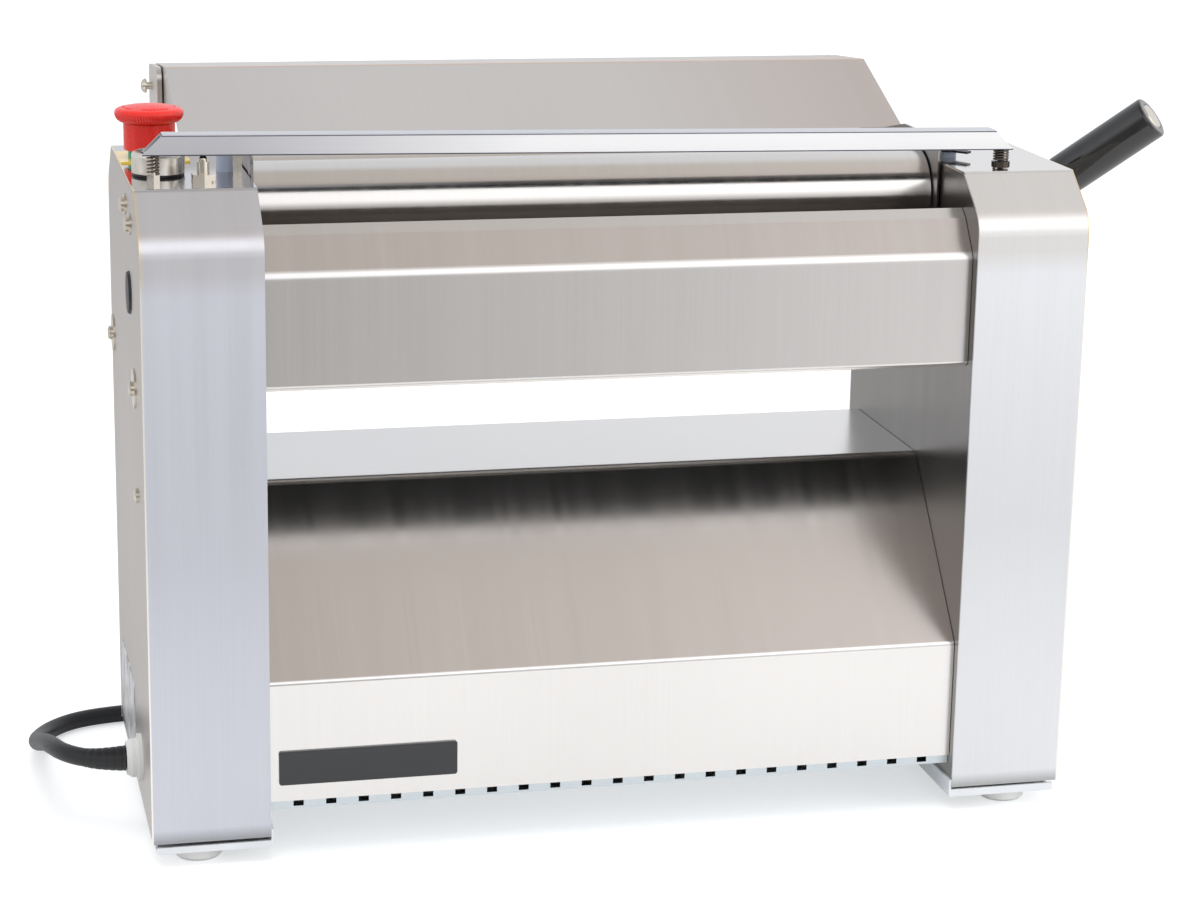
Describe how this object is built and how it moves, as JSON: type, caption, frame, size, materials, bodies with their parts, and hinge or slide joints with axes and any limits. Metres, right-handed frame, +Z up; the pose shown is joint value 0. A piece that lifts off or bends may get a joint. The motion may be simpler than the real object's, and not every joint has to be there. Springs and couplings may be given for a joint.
{
  "type": "pasta sheeter",
  "caption": "Electric bench-top dough sheeter: two rollers between sheet-metal towers, thickness lever, safety bar, stop button, infeed chute.",
  "frame": {"origin": "middle of the machine's footprint on the bench, measured without the cable", "axes": "+X along the rollers to the lever side, +Y from the operator to the infeed chute, +Z up"},
  "size_m": [0.6848, 0.3854, 0.4225],
  "materials": {
    "sheet_steel": "fine brushed stainless sheet",
    "frame_steel": "zinc plated plate",
    "roller_steel": "ground round",
    "machined_steel": "turned",
    "bright_metal": "polished nickel",
    "bar_aluminium": "brushed along its length",
    "cast_aluminium": "cast and painted grey",
    "spring_steel": "dark drawn wire",
    "bush_brass": "turned",
    "black_plastic": "fine texture",
    "black_gloss": "smooth",
    "red_plastic": "smooth",
    "green_plastic": "smooth",
    "yellow_plastic": "smooth",
    "nylon": "turned nylon, blue grey",
    "white_plastic": "moulded",
    "label": "plain, blank",
    "cable_sheath": "matt sheath"
  },
  "bodies": {
    "machine_frame": {"base_trays": "sheet_steel", "inner_cheeks": "sheet_steel", "dough_guides": "sheet_steel", "left_cover": "sheet_steel", "right_cover": "sheet_steel", "left_outer_plate": "sheet_steel", "right_outer_plate": "sheet_steel", "upper_front_panel": "sheet_steel", "upper_rear_panel": "sheet_steel", "lower_housing": "sheet_steel", "vent_plate": "sheet_steel", "scrapers": "sheet_steel", "chute_arms": "sheet_steel", "frame_plates": "frame_steel", "tie_bars": "frame_steel", "axle_bracket": "frame_steel", "drive_chain": "frame_steel", "idler_pin": "frame_steel", "side_screws": "bright_metal", "chute_pivot_screws": "bright_metal", "bar_fasteners": "bright_metal", "switch_barrel": "bright_metal", "start_bezel": "bright_metal", "gear_reducer": "cast_aluminium", "drive_motor": "cast_aluminium", "bar_spring_left": "spring_steel", "bar_spring_right": "spring_steel", "rear_bushes": "bush_brass", "hole_plug": "black_plastic", "contact_blocks": "black_plastic", "mains_plug": "black_plastic", "badge": "black_gloss", "estop_collar": "green_plastic", "estop_plate": "yellow_plastic", "feet": "white_plastic", "cable_gland": "white_plastic", "rating_plate": "label", "mains_cable": "cable_sheath", "cable_coil": "cable_sheath"},
    "rear_roller_body": {"rear_roller": "roller_steel", "rear_roller_ends": "machined_steel", "rear_sprocket": "frame_steel"},
    "adjuster": {"eccentric_axle": "machined_steel", "lever_hub": "machined_steel", "lever_stud": "bright_metal", "lever_grip": "black_gloss"},
    "front_roller_body": {"front_roller": "roller_steel", "front_roller_ends": "machined_steel", "front_sprocket": "frame_steel"},
    "output_drive": {"output_sprocket": "frame_steel"},
    "idler": {"idler_sprocket": "frame_steel"},
    "bar": {"safety_bar": "bar_aluminium", "bar_guide_posts": "nylon", "post_screws": "bright_metal", "post_keepers": "black_plastic"},
    "plunger": {"switch_plunger": "bright_metal"},
    "stop_stem": {"estop_stem": "red_plastic"},
    "stop_head": {"estop_head": "red_plastic"},
    "start_cap": {"start_button": "black_gloss"},
    "chute": {"infeed_chute": "sheet_steel"}
  },
  "joints": [
    {"name": "rear_roller_spin", "type": "hinge", "parent": "machine_frame", "child": "rear_roller_body", "pos_m": [-0.03263, -0.0323, 0.3645], "axis": [1, 0, 0], "continuous": true},
    {"name": "thickness_lever", "type": "hinge", "parent": "machine_frame", "child": "adjuster", "pos_m": [-0.03263, -0.0873, 0.3671], "axis": [1, 0, 0], "range_deg": [-60, 60]},
    {"name": "front_roller_spin", "type": "hinge", "parent": "adjuster", "child": "front_roller_body", "pos_m": [-0.03263, -0.0873, 0.3645], "axis": [1, 0, 0], "continuous": true},
    {"name": "output_spin", "type": "hinge", "parent": "machine_frame", "child": "output_drive", "pos_m": [-0.25413, -0.076, 0.1], "axis": [1, 0, 0], "continuous": true},
    {"name": "idler_spin", "type": "hinge", "parent": "machine_frame", "child": "idler", "pos_m": [-0.25413, -0.138, 0.325], "axis": [1, 0, 0], "continuous": true},
    {"name": "bar_press", "type": "slide", "parent": "machine_frame", "child": "bar", "axis": [0, 0, 1], "range_m": [-0.003, 0], "stiffness_N_per_m": 2500, "springref_m": 0.003, "deforming": ["bar_spring_left", "bar_spring_right"]},
    {"name": "plunger_press", "type": "slide", "parent": "machine_frame", "child": "plunger", "axis": [0, 0, 1], "range_m": [-0.003, 0], "stiffness_N_per_m": 400, "springref_m": 0.001},
    {"name": "stop_press", "type": "slide", "parent": "machine_frame", "child": "stop_stem", "axis": [0, 0, 1], "range_m": [-0.004, 0]},
    {"name": "stop_twist", "type": "hinge", "parent": "stop_stem", "child": "stop_head", "pos_m": [-0.28913, -0.05, 0.409], "axis": [0, 0, 1], "range_deg": [0, 45], "stiffness_Nm_per_rad": 0.05},
    {"name": "start_press", "type": "slide", "parent": "machine_frame", "child": "start_cap", "axis": [0, 0, 1], "range_m": [-0.0025, 0], "stiffness_N_per_m": 800, "springref_m": 0.001},
    {"name": "chute_lift", "type": "hinge", "parent": "machine_frame", "child": "chute", "pos_m": [-0.03263, 0.174, 0.4], "axis": [1, 0, 0], "range_deg": [-75, 0]}
  ],
  "couplings": [
    {"joint": "front_roller_spin", "follows": "rear_roller_spin", "ratio": -1},
    {"joint": "output_spin", "follows": "rear_roller_spin", "ratio": 0.85714},
    {"joint": "idler_spin", "follows": "rear_roller_spin", "ratio": 1},
    {"joint": "plunger_press", "follows": "bar_press", "ratio": 1}
  ]
}
